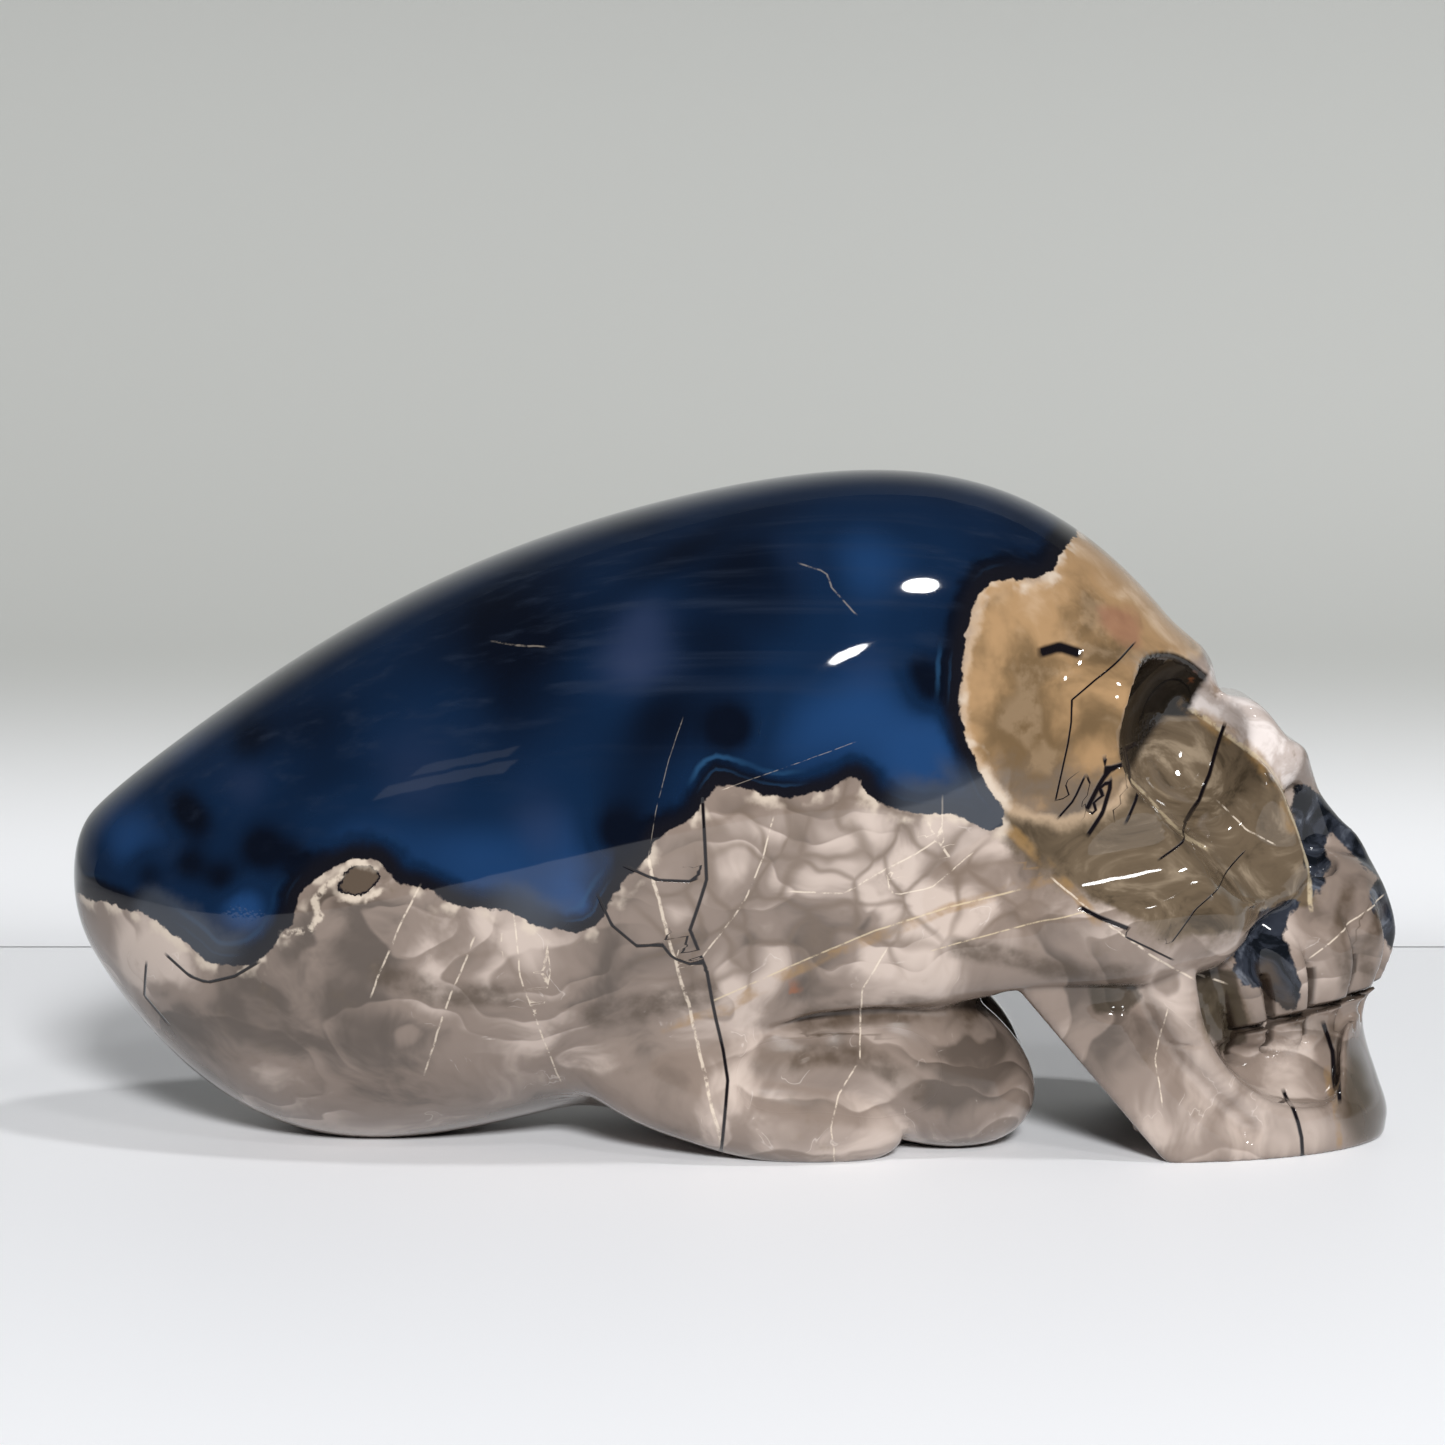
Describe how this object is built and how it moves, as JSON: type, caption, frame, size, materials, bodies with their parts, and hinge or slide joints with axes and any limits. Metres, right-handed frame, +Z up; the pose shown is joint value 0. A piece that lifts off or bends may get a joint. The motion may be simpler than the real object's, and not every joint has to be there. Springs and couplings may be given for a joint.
{
  "type": "elongated skull carving",
  "caption": "Long-headed skull carved from one piece of polished banded agate, with open eye sockets, cut teeth and a jaw hollowed from below.",
  "frame": {"origin": "on the table under the middle of the carving, halfway between the back of the head and the front teeth", "axes": "+X the way the face looks, +Z up, y = 0 is the plane both sides mirror in"},
  "size_m": [0.211, 0.093, 0.1057],
  "materials": {
    "polished_agate": "high polish, navy blue and taupe banded agate"
  },
  "bodies": {
    "root": {"skull": "polished_agate"}
  },
  "joints": []
}
